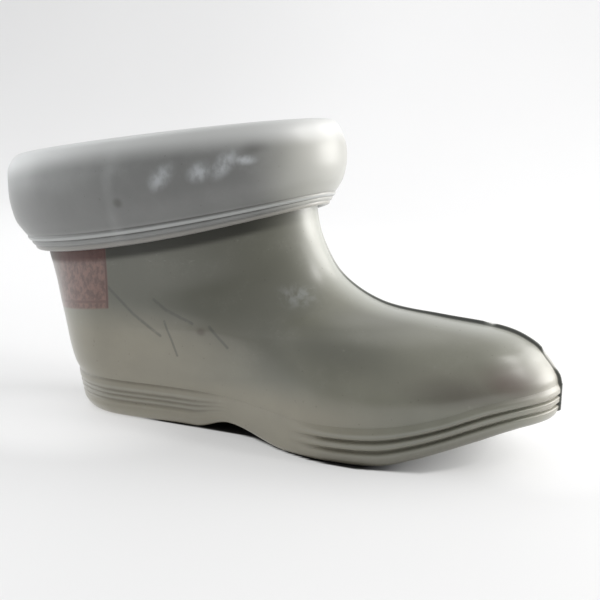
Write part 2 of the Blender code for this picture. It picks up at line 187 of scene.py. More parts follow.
def vampFall(section, x, y):  # the vamp is an arch with its crest under the seam
    across = y - tipSwing(section, x)
    row = lastRows[1]
    half = np.where(across < 0, halfWidth(row, x, row.outerRun, row.outerHalf, form["outerToe"], 0),
                    halfWidth(row, x, row.innerRun, row.innerHalf, form["innerToe"], 0))
    strength = step(*form["fallRise"], x) * (1 - step(*form["fallEnd"], x))
    share = np.minimum(np.abs(across) / np.maximum(half, 1), 1)
    return form["vampFall"] * strength * share ** form["fallPower"]


def footRing(backRow, frontRow, shares):  # bent down near the sole to follow its rim
    fade = max(1 - backRow / form["rimBlend"], 0)
    section = sectionAt(backRow, frontRow)
    points = ring(section, shares, 0, form["waistDraw"] * fade)
    first = lastRows[0]
    share = np.clip((points[:, 0] - first.backX) / (first.frontX - first.backX), 0, 1)
    chord = first.backZ + (first.frontZ - first.backZ) * share
    points[:, 2] += fade ** 2 * (rimHeight(points[:, 0]) + form["meet"] - chord)
    points[:, 2] -= step(*form["fallRows"], frontRow) * vampFall(section, points[:, 0], points[:, 1])
    return points


def soleRing(shares, inset, height, rake=0):  # outline of the sole, lifted by a function of x
    first = lastRows[0]
    points = ring(first._replace(backX=first.backX + rake), shares, -inset, form["waistDraw"])
    points[:, 2] = height(points[:, 0])
    return points


def gridNormals(rings):
    around = np.roll(rings, -1, axis=1) - np.roll(rings, 1, axis=1)
    normal = np.cross(around, np.gradient(rings, axis=0))
    normal /= np.maximum(np.linalg.norm(normal, axis=2, keepdims=True), 1e-9)
    facing = ((rings - rings.mean(axis=1, keepdims=True)) * normal).sum(axis=2).mean()
    return normal if facing > 0 else -normal


# The frame is centred on the part's box, so the toe of its sole tells where the last's own zero lies
proudToe = 2.4  # the seam's height on the sole's toe
shift = np.array([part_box("outsole")[1].x / mm - (lastRows[0].frontX + proudToe), 0, 0])
print("last placed, shifted by", np.round(shift, 2), "mm")


def bandFaces(rows, count, closed=False):  # quads between neighbouring rings of a stack
    faces = []
    for k in range(rows if closed else rows - 1):
        low, high = k * count, (k + 1) % rows * count
        for i in range(count):
            j = (i + 1) % count
            faces.append((low + i, low + j, high + j, high + i))
    return faces


def acrossFaces(start, front):  # fill a ring from side to side
    count = 2 * front
    faces = [(start, start + 1, start + count - 1)]
    faces += [(start + i, start + i + 1, start + count - i - 1, start + count - i)
              for i in range(1, front - 1)]
    return faces + [(start + front - 1, start + front, start + front + 1)]


def placed(name, data):  # an object in the scene
    thing = bpy.data.objects.new(name, data)
    bpy.context.scene.collection.objects.link(thing)
    return thing


def storeMask(data, name, values):
    layer = data.attributes.new(name, "FLOAT", "POINT")
    layer.data.foreach_set("value", np.asarray(values, dtype=np.float32))


def faceOut(data):  # make every face point out of its wall
    mesh = bmesh.new()
    mesh.from_mesh(data)
    bmesh.ops.recalc_face_normals(mesh, faces=mesh.faces)
    mesh.to_mesh(data)
    mesh.free()


sharpAngle = math.radians(50)


def makePiece(name, points, faces, masks, node, finishes, faceFinish=None):
    data = bpy.data.meshes.new(name)
    data.from_pydata([Vector(p) for p in (np.asarray(points) + shift) * mm], [], faces)
    for mask, values in masks.items():
        storeMask(data, mask, values)
    for finish in finishes:
        data.materials.append(finish)
    if faceFinish is not None:
        data.polygons.foreach_set("material_index", np.asarray(faceFinish, dtype=np.int32))
    data.shade_smooth()
    data.set_sharp_from_angle(angle=sharpAngle)
    data.validate()
    piece = placed(name, data)
    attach(piece, "root")
    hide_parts(node)
    faceOut(data)
    low, high = np.array(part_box(node)) / mm
    mine = np.asarray(points) + shift
    print(name, len(faces), "faces, beyond its solid by",
          np.round(low - mine.min(axis=0), 1), np.round(mine.max(axis=0) - high, 1), "mm")


# Shader sums: a Wire is a socket, and every operator adds a Math node
class Wire:
    def __init__(self, finish, socket):
        self.finish = finish
        self.socket = socket

    def sum(self, operation, *values):
        return self.finish.add("ShaderNodeMath", {"operation": operation}, dict(enumerate(values)))

    def __add__(self, other):
        return self.sum("ADD", self, other)

    def __sub__(self, other):
        return self.sum("SUBTRACT", self, other)

    def __rsub__(self, other):
        return self.sum("SUBTRACT", other, self)

    def __mul__(self, other):
        return self.sum("MULTIPLY", self, other)

    def __truediv__(self, other):
        return self.sum("DIVIDE", self, other)

    def __pow__(self, other):
        return self.sum("POWER", self, other)

    def __abs__(self):
        return self.sum("ABSOLUTE", self)

    def sine(self):
        return self.sum("SINE", self)

    def most(self, other):
        return self.sum("MAXIMUM", self, other)

    def least(self, other):
        return self.sum("MINIMUM", self, other)

    __radd__ = __add__
    __rmul__ = __mul__


class Nodes:
    def __init__(self, tree):
        self.tree = tree

    def add(self, kind, settings, inputs, out=0):  # any node: its settings first, then its sockets
        node = self.tree.nodes.new(kind)
        for name, value in settings.items():
            setattr(node, name, value)
        for name, value in inputs.items():
            socket = node.inputs[name]
            if isinstance(value, Wire):
                self.tree.links.new(value.socket, socket)
            else:
                socket.default_value = (*value, 1) if socket.type == "RGBA" else value
        return Wire(self, node.outputs[out])

    def vector(self, operation, inputs, out=0):
        return self.add("ShaderNodeVectorMath", {"operation": operation}, inputs, out)


class Finish(Nodes):
    def __init__(self, name):
        self.material = bpy.data.materials.new(name)
        self.material.use_nodes = True
        super().__init__(self.material.node_tree)
        self.shader = self.tree.nodes["Principled BSDF"]
        place = self.add("ShaderNodeTexCoord", {}, {}, "Object")
        self.place = self.vector("SCALE", {0: place, "Scale": 1 / mm})
        self.x, self.y, self.z = (self.add("ShaderNodeSeparateXYZ", {}, {0: self.place}, i)
                                  for i in range(3))

    # noise and cells take their size in millimetres
    def noise(self, size, detail=3, rough=0.5, stretch=(1, 1, 1), drift=0):
        spot = self.add("ShaderNodeMapping", {}, {"Vector": self.place, "Scale": stretch,
                                                  "Location": (drift, 2 * drift, 3 * drift)})
        return self.add("ShaderNodeTexNoise", {}, {"Vector": spot, "Scale": 1 / size, "Detail": detail,
                                                   "Roughness": rough})

    def cells(self, size):
        return self.add("ShaderNodeTexVoronoi", {}, {"Vector": self.place, "Scale": 1 / size})

    def rise(self, value, low, high):  # smooth mask, falling where low is above high
        return self.add("ShaderNodeMapRange", {"interpolation_type": "SMOOTHSTEP"},
                        {0: value, 1: low, 2: high, 3: 0, 4: 1})

    def mask(self, name):  # a mask stored on the mesh
        return self.add("ShaderNodeAttribute", {"attribute_name": name}, {}, "Fac")

    def tint(self, amount, under, over):
        return self.add("ShaderNodeMix", {"data_type": "RGBA"}, {0: amount, 6: under, 7: over}, 2)

    def bump(self, height, depth, strength=1, normal=None):  # depth in millimetres
        inputs = {"Height": height, "Distance": depth * mm, "Strength": strength}
        if normal:
            inputs["Normal"] = normal
        return self.add("ShaderNodeBump", {}, inputs)

    def finish(self, constant, **varied):
        for name, value in constant.items():
            self.shader.inputs[name].default_value = value
        for name, wire in varied.items():
            self.tree.links.new(wire.socket, self.shader.inputs[name.replace("_", " ")])
        return self.material

    def outerSide(self):  # 1 on the outer side of the foot
        return self.rise(self.y, -4, -14)

    def stroke(self, ends, width):  # soft line through points
        away = []
        for (x0, z0), (x1, z1) in zip(ends, ends[1:]):
            runX, runZ = x1 - x0, z1 - z0
            fromX, fromZ = self.x - (x0 + shift[0]), self.z - z0
            along = ((fromX * runX + fromZ * runZ) / (runX ** 2 + runZ ** 2)).most(0).least(1)
            away.append(((fromX - along * runX) ** 2 + (fromZ - along * runZ) ** 2) ** 0.5)
        return self.rise(reduce(Wire.least, away), width, width * 0.3)

    def patch(self, x, z, sizeX, sizeZ, soft, lean):  # soft oval
        alongX = (self.x - (x + shift[0]) - (self.z - z) * lean) / sizeX
        away = (alongX ** 2 + ((self.z - z) / sizeZ) ** 2) ** 0.5
        return self.rise(away, 1, 1 - soft)

    def patches(self, ovals):
        return reduce(Wire.most, [self.patch(*oval) for oval in ovals])


# Marks lie on the side of the boot, by x and z in the last's millimetres
Oval = namedtuple("Oval", "x z sizeX sizeZ soft lean")


# Rubber of upper and sole, with painted shade and painted highlights among its tones
bodyLook = {
    "shade": (0.166, 0.166, 0.129), "light": (0.226, 0.225, 0.179), "taupe": (0.345, 0.313, 0.240),
    "bloom": (0.42, 0.43, 0.39), "tip": (0.40, 0.375, 0.315), "dirtAndShade": (0.075, 0.062, 0.045),
    "seam": (0.022, 0.026, 0.020), "paintedShade": (0.105, 0.107, 0.084), "deep": (0.028, 0.028, 0.020),
    "blotch": 64, "cloud": 17, "fine": 2.2, "specks": 4.6, "flecks": 1.6, "grain": 0.55, "peel": 5,
    "roughness": 0.48, "coat": 1, "coatRoughness": 0.28,
    "shaftDusk": (60, 86), "duskStart": 48, "duskSlope": 0.25, "shaftFront": (200, 160),
    "duskOvals": [Oval(208, 64, 58, 22, 0.95, -0.6), Oval(276, 45, 42, 11, 0.9, 0)],
    "warmHeel": (78, 50), "heelFront": (190, 70),
    "warmSole": (46, 24), "soleFront": (260, 180),
    "paleTip": (302, 324), "tipFoot": (20, 34), "crestEnd": (312, 276),
    "print": (0.262, 0.132, 0.104), "printDark": (0.070, 0.018, 0.014), "printMottle": 3.8,
    "printEdge": 49.6, "printFoot": 64.6, "printLean": 0.124, "printLine": 4.4,
    "scratch": (0.060, 0.060, 0.050), "chalk": (0.40, 0.42, 0.42), "brown": (0.088, 0.064, 0.047),
    "toeSmudge": Oval(299, 50, 22, 14, 0.95, -0.6),
    "smudgeTail": Oval(279, 46, 46, 14, 0.95, -0.4),
    "spot": Oval(118.4, 63.5, 4.6, 3.4, 0.8, 0), "chalkOval": Oval(172.5, 87, 15, 9, 0.9, -0.3),
}
# thin scratches: their points and their width
scratches = [
    ([(46.5, 87.2), (58, 77.6), (68.6, 69.2), (80.2, 62.4), (88.3, 57.6)], 1.5),
    ([(84.2, 79.6), (93.3, 74.2), (112, 67.8)], 1.5),
    ([(91.9, 67), (96.2, 56.4), (99.9, 46.2)], 1.2),
    ([(124.2, 67), (137, 56.3)], 1.4),
]


def bodyRubber(name):
    f = Finish(name)
    along = f.x - shift[0]
    blotch = f.noise(bodyLook["blotch"], 2)
    cloud = f.noise(bodyLook["cloud"], 4, 0.55, drift=31)
    fine = f.noise(bodyLook["fine"], 3, 0.6, drift=7)
    tone = f.rise(blotch * 0.75 + cloud * 0.25, 0.25, 0.75)
    colour = f.tint(tone, bodyLook["shade"], bodyLook["light"])

    # painted shade on the shaft and the flank of the vamp; paler and warmer low on the heel and on the
    # sole, partly the rubber's warmer tone and partly painted light from the floor below
    crest = f.mask("crest")
    paintedShade = f.rise(f.z + (along - bodyLook["duskStart"]) * bodyLook["duskSlope"], *bodyLook["shaftDusk"])
    paintedShade = (paintedShade * f.rise(along, *bodyLook["shaftFront"])).most(f.patches(bodyLook["duskOvals"]))
    colour = f.tint(paintedShade * (1 - crest) * 0.62, colour, bodyLook["paintedShade"])
    warmHeel = f.rise(f.z, *bodyLook["warmHeel"]) * f.rise(along, *bodyLook["heelFront"])
    warmSole = f.rise(f.z, *bodyLook["warmSole"]) * f.rise(along, *bodyLook["soleFront"])
    warm = warmHeel.most(warmSole) * (0.7 + cloud * 0.5)
    colour = f.tint(warm.least(1) * 0.75, colour, bodyLook["taupe"])
    # painted highlights: paler along the crest of the vamp and at the toe tip
    paleTip = f.rise(along, *bodyLook["paleTip"]) * f.rise(f.z, *bodyLook["tipFoot"])
    colour = f.tint(crest * f.rise(along, *bodyLook["crestEnd"]) * 0.85, colour, bodyLook["bloom"])
    colour = f.tint(paleTip * 0.6, colour, bodyLook["tip"])

    # pale bloom of the rubber, dust specks and rubbed flecks
    bloom = f.rise(cloud * 0.6 + fine * 0.4, 0.50, 0.72)
    colour = f.tint(bloom * 0.08, colour, bodyLook["bloom"])
    specks = f.rise(f.cells(bodyLook["specks"]), 0.16, 0.07) * f.rise(fine, 0.48, 0.62)
    colour = f.tint(specks * 0.35, colour, bodyLook["dirtAndShade"])
    flecks = f.rise(f.noise(bodyLook["flecks"], 2, 0.5, (0.35, 1, 1), 19), 0.66, 0.74)
    colour = f.tint(flecks * f.rise(cloud, 0.5, 0.62) * 0.15, colour, bodyLook["bloom"])

    # scratches, a chalky rub and brown smudges on the outer side
    side = f.outerSide()
    broken = f.rise(f.noise(3.4, 3, 0.6, drift=11), 0.20, 0.52)
    scratch = reduce(Wire.most, [f.stroke(ends, width) for ends, width in scratches])
    scratch = scratch * (0.35 + broken * 0.65) * side
    colour = f.tint(scratch * 0.55, colour, bodyLook["scratch"])
    chalk = f.patch(*bodyLook["chalkOval"]) * side
    rubbed = f.rise(f.noise(5, 3, 0.55, (1, 1, 0.6), 5), 0.36, 0.68)
    colour = f.tint(chalk * rubbed * 0.42, colour, bodyLook["chalk"])
    brown = f.patch(*bodyLook["toeSmudge"]) * (0.7 + f.rise(cloud, 0.20, 0.55) * 0.3)
    brown = brown.most(f.patch(*bodyLook["smudgeTail"]) * 0.36)
    brown = brown.most(f.patch(*bodyLook["spot"]) * 0.7) * side
    colour = f.tint(brown * 0.92, colour, bodyLook["brown"])

    # faded print at the back: a block of brownish wash, mottled, with darker edges
    toEdge = bodyLook["printEdge"] - along
    fromFoot = f.z - bodyLook["printFoot"] - along * bodyLook["printLean"]
    block = f.rise(toEdge, -0.7, 0.7) * f.rise(fromFoot, -0.8, 0.8) * f.rise(f.y, -2, -14)
    block = block * (f.rise(along, -12, 16) * 0.75 + 0.25)
    mottle = f.rise(f.noise(bodyLook["printMottle"], 4, 0.65, (1, 1, 0.8), 23), 0.36, 0.62)
    line = f.rise(abs(fromFoot - bodyLook["printLine"]), 1.5, 0.5)
    edges = f.rise(toEdge, 2.4, 0.8).most(line * 0.7)
    colour = f.tint(block * (0.62 + mottle * 0.25), colour, bodyLook["print"])
    printDark = (0.1 + (1 - mottle) * 0.55).most(edges * 0.8)
    colour = f.tint(block * printDark, colour, bodyLook["printDark"])

    # painted shade in the grooves, painted highlights on the sole's ribs, painted shade under the cuff's
    # free edge that also darkens the print, and the seam painted dark as painted shade
    groove = f.mask("groove") * (0.65 + fine * 0.5)
    colour = f.tint(f.mask("ridge") * 0.30, colour, bodyLook["bloom"])
    colour = f.tint(groove.least(1) * 0.7, colour, bodyLook["dirtAndShade"])
    undercut = f.mask("undercut")
    colour = f.tint(undercut * (1 - block) * 0.93, colour, bodyLook["deep"])
    colour = f.tint(undercut * block * 0.8, colour, bodyLook["printDark"])
    seam = f.mask("seam")
    colour = f.tint(seam * 0.93, colour, bodyLook["seam"])

    roughness = bodyLook["roughness"] + (cloud - 0.5) * 0.16 + bloom * 0.08 + chalk * 0.1 + seam * 0.2
    coat = (bodyLook["coat"] - bloom * 0.1 - groove * 0.2 - paleTip * 0.45) * (1 - undercut * 0.9)
    normal = f.bump(f.noise(bodyLook["peel"], 2), 0.05, 0.35)
    normal = f.bump(f.noise(bodyLook["grain"], 3, 0.6), 0.03, 0.30, normal)
    normal = f.bump(1 - scratch, 0.12, 0.5, normal)
    return f.finish({"Coat Roughness": bodyLook["coatRoughness"], "Specular IOR Level": 0.5},
                    Base_Color=colour, Roughness=roughness, Coat_Weight=coat, Normal=normal)


# Rubber of the cuff and of the inside of the shaft, which the cuff turns outwards, with painted shade and
# painted highlights among the cuff's tones
cuffLook = {
    "shade": (0.190, 0.194, 0.190), "light": (0.262, 0.266, 0.260), "pale": (0.42, 0.42, 0.385),
    "bloom": (0.46, 0.475, 0.47), "fold": (0.64, 0.65, 0.645), "paintedShade": (0.115, 0.115, 0.110),
    "dirtAndShade": (0.07, 0.065, 0.055), "chalk": (0.56, 0.585, 0.61), "edge": (0.33, 0.30, 0.255),
    "blotch": 48, "cloud": 13, "fine": 1.8, "specks": 5.2, "grain": 0.6, "peel": 6, "knit": 1.7,
    "roughness": 0.5, "coat": 0.8, "coatRoughness": 0.32,
    "duskFront": (172, 150), "paleFront": (148, 178),
    "rubs": [Oval(104, 155.5, 9, 11, 0.9, 0.5), Oval(126, 159, 9, 8.5, 0.9, 0.3),
             Oval(138.5, 163.5, 8, 11.5, 0.9, 0.5), Oval(149, 166, 8, 4, 0.9, 0.2)],
    "stain": Oval(75, 139.5, 4.5, 4, 0.8, 0), "smear": Oval(153, 173.5, 9, 5.5, 0.9, 0.3),
}


def cuffRubber(name, inside):
    f = Finish(name)
    blotch = f.noise(cuffLook["blotch"], 2, drift=13)
    cloud = f.noise(cuffLook["cloud"], 4, 0.55, drift=41)
    fine = f.noise(cuffLook["fine"], 3, 0.6, drift=3)
    tone = f.rise(blotch * 0.7 + cloud * 0.3, 0.25, 0.75)
    colour = f.tint(tone, cuffLook["shade"], cuffLook["light"])
    bloom = f.rise(cloud * 0.55 + fine * 0.45, 0.50, 0.70)
    colour = f.tint(bloom * 0.08, colour, cuffLook["bloom"])
    specks = f.rise(f.cells(cuffLook["specks"]), 0.15, 0.06) * f.rise(fine, 0.48, 0.62)
    colour = f.tint(specks * 0.4, colour, cuffLook["dirtAndShade"])
    roughness = cuffLook["roughness"] + (cloud - 0.5) * 0.16 + bloom * 0.06
    if inside:  # the cloth under the rubber shows through as a fine knit
        turn = 2 * math.pi / cuffLook["knit"]
        knit = (f.x * turn).sine() * (f.z * turn).sine()
        colour = f.tint(f.rise(knit, 0, 1) * 0.15, colour, cuffLook["dirtAndShade"])
        return f.finish({"Specular IOR Level": 0.4}, Base_Color=colour, Roughness=roughness + 0.2,
                        Normal=f.bump(knit, 0.10, 0.4))

    # painted shade low on the flap, and a painted highlight round the front
    along = f.x - shift[0]
    colour = f.tint(f.mask("low") * f.rise(along, *cuffLook["duskFront"]) * 0.35, colour, cuffLook["paintedShade"])
    colour = f.tint(f.rise(along, *cuffLook["paleFront"]) * 0.8, colour, cuffLook["pale"])

    # chalky rubs, a stain and a smear on the outer side
    side = f.outerSide()
    streaks = f.rise(f.noise(5, 3, 0.55, (1, 1, 0.7), 29), 0.34, 0.66)
    rubs = f.patches(cuffLook["rubs"]) * side * (0.25 + streaks * 0.55)
    colour = f.tint(rubs, colour, cuffLook["chalk"])
    stain = f.patch(*cuffLook["stain"]) * side * 0.55
    smear = f.patch(*cuffLook["smear"]) * side * 0.40
    colour = f.tint(stain.most(smear), colour, cuffLook["dirtAndShade"])

    # painted shade between the beads, painted highlights on the beads and on the fold, and the cut edge
    groove = f.mask("groove") * (0.7 + fine * 0.4)
    colour = f.tint(groove.least(1) * 0.85, colour, cuffLook["dirtAndShade"])
    colour = f.tint(f.mask("ridge") * 0.85, colour, cuffLook["bloom"])
    colour = f.tint(f.mask("fold") * 0.8, colour, cuffLook["fold"])
    colour = f.tint(f.mask("edge") * 0.4, colour, cuffLook["edge"])
    normal = f.bump(f.noise(cuffLook["peel"], 2, drift=2), 0.06, 0.4)
    normal = f.bump(f.noise(cuffLook["grain"], 3, 0.6), 0.03, 0.3, normal)
    return f.finish({"Coat Roughness": cuffLook["coatRoughness"], "Specular IOR Level": 0.5},
                    Base_Color=colour, Roughness=roughness, Coat_Weight=cuffLook["coat"] - bloom * 0.08,
                    Normal=normal)


# Woven cloth on the insole
insoleLook = {
    "thread": (0.40, 0.38, 0.32), "gap": (0.20, 0.185, 0.15), "worn": (0.26, 0.235, 0.19),
    "pitch": 1.5, "gapUnder": 0.3, "thickness": 4, "inset": 5.3, "steps": 90,
    "levels": [(0, 0), (0, 0.75), (0.3, 0.92), (1, 1)],  # more inset, share of the thickness
}


def insoleCloth():
    f = Finish("insoleCloth")
    turn = 2 * math.pi / insoleLook["pitch"] * 0.7071  # threads lie across the foot's diagonals
    weave = (((f.x + f.y) * turn).sine() * ((f.x - f.y) * turn).sine()) * 0.5 + 0.5
    fuzz = f.noise(0.8, 3, 0.65)
    threads = f.rise(weave, 0.15, 0.75) * (0.75 + fuzz * 0.5)
    colour = f.tint(threads, insoleLook["gap"], insoleLook["thread"])
    trodden = f.rise(f.noise(36, 3), 0.42, 0.66)
    colour = f.tint(trodden * 0.45, colour, insoleLook["worn"])
    normal = f.bump(weave + fuzz * 0.4, 0.35, 0.7)
    return f.finish({"Roughness": 0.9, "Specular IOR Level": 0.2}, Base_Color=colour, Normal=normal)


# Turned-down cuff, so that the upper knows where its free edge hangs
cuffShape = {
    "depth": 56, "flapBack": 2.8, "flapFront": 1.85, "droop": 6.3, "droopStart": 0.3,
    "steps": 96, "perFold": 6, "perBead": 10, "beadsFrom": 40, "flapFrom": 0.3,
    "beads": [48, 51.3, 54.5], "beadHalf": 1.62, "beadRise": 1.125, "lipReach": 0.7,
    "swellOut": (6, 11), "swellEnd": (43, 46),
}


def cuffRing(shares, down, out):  # down is measured below the fold, out from the shaft's face
    share = down / cuffShape["depth"]
    section = sectionAt(topRow - cuffShape["flapBack"] * share, topRow - cuffShape["flapFront"] * share)
    points = ring(section, shares, out)
    hang = max((share - cuffShape["droopStart"]) / (1 - cuffShape["droopStart"]), 0)
    back, end = points[:, 0].min(), points[:, 0].max()
    place = (points[:, 0] - back) / (end - back)
    points[:, 2] -= cuffShape["droop"] * hang * 4 * place * (1 - place)
    return points


# Upper: outer face with its raised seam, then the inner face a wall's thickness inside
upperLook = {
    "rings": 132, "steps": 112, "insideEvery": 3,
    # seamDark places the seam's painted shade, undercut the painted shade under the cuff's free edge, crest
    # the reach of the painted highlight along the vamp
    "seamHalf": 1.5, "seamRound": 0.6, "seamDark": (1.35, 0.85), "seamLevel": (0, 6), "slide": (5, 50),
    "legDown": 14.05, "cuffEdge": (57, 5), "undercut": (5.5, 9.5), "undercutEnd": (138, 176),
    "crest": (4, 30),
}
# Seam by row of the last: thick at the toe, weak twice, and running out on the inner side of the shaft; its
# darkness is painted shade
SeamPoint = namedtuple("SeamPoint", "row height dark aside")
seamTable = [SeamPoint(*values) for values in [
    (0, 2.3, 1, 0), (0.8, 1.9, 1, 0), (1.2, 1.5, 1, 0), (1.5, 0.8, 0.6, 0), (2.35, 0.8, 0.6, 0),
    (2.65, 1.9, 1, 0), (4.10, 2, 1, 0), (4.17, 1.3, 0.4, 0), (4.23, 1.3, 0.4, 0), (4.30, 2.1, 1, 0.2),
    (4.9, 1.9, 1, 1.5), (5.4, 1.5, 0.95, 3), (6.2, 1.2, 0.85, 5.5), (7.2, 0.9, 0.6, 7.5),
    (8.2, 0.5, 0.25, 9), (9.2, 0, 0, 9),
]]


def slideAlong(points, front, aside):  # move the points near the seam along their ring
    travel = np.append(0, np.cumsum(np.linalg.norm(np.diff(points, axis=0), axis=1)))
    fromSeam = travel - travel[front]
    slid = fromSeam + aside * (1 - step(*upperLook["slide"], np.abs(fromSeam)))
    return np.stack([np.interp(slid, fromSeam, points[:, k]) for k in range(3)], axis=1)


# the darkness beside the seam is painted shade
def seamColumns(front):  # points beside the seam: place in the ring, share of its height, darkness
    half = upperLook["seamHalf"]
    outer, inner = (half * share for share in upperLook["seamDark"])
    for away, offset in enumerate(reversed(form["seamOffsets"])):
        height = max(1 - (offset / half) ** 2, 0) ** upperLook["seamRound"]
        dark = float(step(outer, inner, offset))
        for column in {front - away, front + away}:
            yield column, height, dark


def makeUpper(rubber, liner):
    count = upperLook["rings"]
    legShare = upperLook["legDown"] / cuffShape["depth"]
    topBack = topRow - cuffShape["flapBack"] * legShare
    topFront = topRow - cuffShape["flapFront"] * legShare
    seamRows, *seamValues = zip(*seamTable)
    rings, heights, darks = [], [], []
    for place in np.linspace(0, 1, count):
        backRow, frontRow = topBack * place, topFront * place
        shares = seamShares(sectionAt(backRow, frontRow), upperLook["steps"])
        height, dark, aside = (np.interp(frontRow, seamRows, values) for values in seamValues)
        rings.append(slideAlong(footRing(backRow, frontRow, shares), len(shares) - 1, aside))
        heights.append(height)
        darks.append(dark)
    rings = np.array(rings)
    normals = gridNormals(rings)
    around = rings.shape[1]
    front = around // 2
    outside = rings.copy()
    seam = np.zeros(rings.shape[:2])
    for column, height, dark in seamColumns(front):
        lift = normals[:, column] * (np.array(heights) * height)[:, None]
        lift[:, 2] *= step(*upperLook["seamLevel"], np.arange(count))  # level where it meets the sole
        outside[:, column] += lift
        # the seam is painted dark: painted shade along the crest
        seam[:, column] = dark * np.array(darks)
    inside = rings - normals * form["wall"]
    lining = np.concatenate([inside[:-1:upperLook["insideEvery"]], inside[-1:]])
    lining[-1] = ring(sectionAt(topBack, topFront), shares, -form["wall"])
    lining[0][:, 2] = rimHeight(lining[0][:, 0]) + form["meet"]
    stack = np.concatenate([outside, lining[::-1]])
    faces = bandFaces(len(stack), around, closed=True)
    finish = np.repeat([0] * count + [1] * (len(stack) - count - 1) + [0], around)

    # painted shade under the cuff's free edge, and nearness to the crest of the vamp, where a highlight is
    # painted
    edge = cuffRing(shares, *upperLook["cuffEdge"])[:front + 1]
    below = np.interp(outside[:, :, 0], edge[:, 0], edge[:, 2]) - outside[:, :, 2]
    undercut = 1 - step(*upperLook["undercut"], below)
    undercut *= 1 - step(*upperLook["undercutEnd"], outside[:, :, 0])
    travel = np.linalg.norm(np.diff(rings[:, :front + 1], axis=1), axis=2)
    toSeam = np.append(np.cumsum(travel[:, ::-1], axis=1)[:, ::-1], np.zeros((count, 1)), axis=1)
    crest = 1 - step(*upperLook["crest"], np.append(toSeam, toSeam[:, -2:0:-1], axis=1))
    spare = np.zeros(len(lining) * around)
    masks = {"seam": seam, "undercut": undercut, "crest": crest}
    masks = {name: np.append(values, spare) for name, values in masks.items()}
    makePiece("bootUpper", stack.reshape(-1, 3), faces, masks, "upper",
              [rubber, liner], finish)


# Middle of the cuff's wall from the inner leg over the fold to the free edge, with the wall's thickness
Fold = namedtuple("Fold", "down out thick")
cuffFold = [Fold(*values) for values in [
    (14, -1.4, 2.8), (9.5, -1.4, 2.8), (5, -1.4, 2.8), (0.5, 0.3, 2.9), (-1.6, 3.9, 3),
    (-1.2, 8.2, 3), (2.6, 12, 3), (7.5, 14.6, 3), (15, 16.4, 3), (26, 17.4, 3),
    (36, 15.8, 3), (43, 12.6, 3), (46.6, 10.3, 3), (49.6, 8.3, 3), (52.8, 6.4, 3),
    (56, 4.7, 3),
]]
# soft troughs and swells of the flap: side (-1 outer), place along the last and down, sizes, height
Dent = namedtuple("Dent", "side x down spanX spanDown swell")
cuffDents = [Dent(*values) for values in [
    (-1, 62, 12.5, 46, 4.5, -0.9), (-1, 34, 29, 22, 8, 0.8), (-1, 88, 27, 20, 9, -0.7),
    (-1, 118, 36, 26, 7, 0.6), (-1, 75, 34, 6, 5, -0.5), (-1, 146, 20, 16, 10, -0.8),
    (-1, -8, 34, 18, 10, -0.6), (-1, 6, 20, 14, 9, 0.7), (1, 40, 24, 30, 8, -0.9),
    (1, 96, 32, 26, 9, 0.8), (1, 130, 17, 24, 7, -0.7), (1, 4, 30, 20, 9, 0.6),
    (-1, -52, 5, 16, 5, 1.4), (1, -52, 5, 16, 5, 1.4), (-1, -50, 39, 16, 6, 1.5),
    (1, -50, 39, 16, 6, 1.5), (-1, 184, 5, 14, 6, -1.2), (1, 184, 5, 14, 6, -1.2),
]]


def cuffProfile():  # closed outline of the wall, the open face first, with a round free edge
    sample = []
    for i, fold in enumerate(cuffFold[:-1]):
        per = cuffShape["perBead"] if fold.down > cuffShape["beadsFrom"] else cuffShape["perFold"]
        sample += [i + k / per for k in range(per)]
    middle = np.array([tableAt(cuffFold, place) for place in sample + [len(cuffFold) - 1]])
    down = middle[:, 0]
    travel = np.gradient(middle[:, :2], axis=0)
    travel /= np.linalg.norm(travel, axis=1, keepdims=True)
    side = np.stack([-travel[:, 1], travel[:, 0]], axis=1)
    flap = np.arange(len(middle)) > len(middle) * cuffShape["flapFrom"]
    bead = np.zeros(len(middle))
    for place in cuffShape["beads"]:
        away = np.abs(down - place) / cuffShape["beadHalf"]
        bead = np.maximum(bead, np.sqrt(np.clip(1 - away ** 2, 0, 1)))
    bead *= flap
    half = middle[:, 2:] / 2
    openFace = middle[:, :2] + side * (half + (bead * cuffShape["beadRise"])[:, None])
    hidden = middle[:, :2] - side * half
    lip = [middle[-1, :2] + half[-1] * (side[-1] * math.sin(angle)
                                        + travel[-1] * cuffShape["lipReach"] * math.cos(angle))
           for angle in np.radians([60, 30, 0, -30, -60])]
    profile = np.vstack([openFace, lip, hidden[::-1][:-1:2], hidden[:1]])
    # groove and low carry painted shade, ridge and fold carry painted highlights, edge marks the cut edge
    masks = {
        "groove": flap * step(45.6, 46.6, down) * (1 - step(0, 0.62, bead)) * (down < 53.5),
        "edge": flap * step(52.9, 53.4, down),
        "ridge": flap * step(0.75, 0.95, bead) * (down < 50),
        "fold": step(1.5, 5, middle[:, 1]) * (1 - step(3, 15, down)),
        "low": flap * step(14, 34, down) * (1 - step(44, 46, down)),
    }
    spare = np.zeros(len(profile) - len(middle))
    return profile, {name: np.append(values, spare) for name, values in masks.items()}


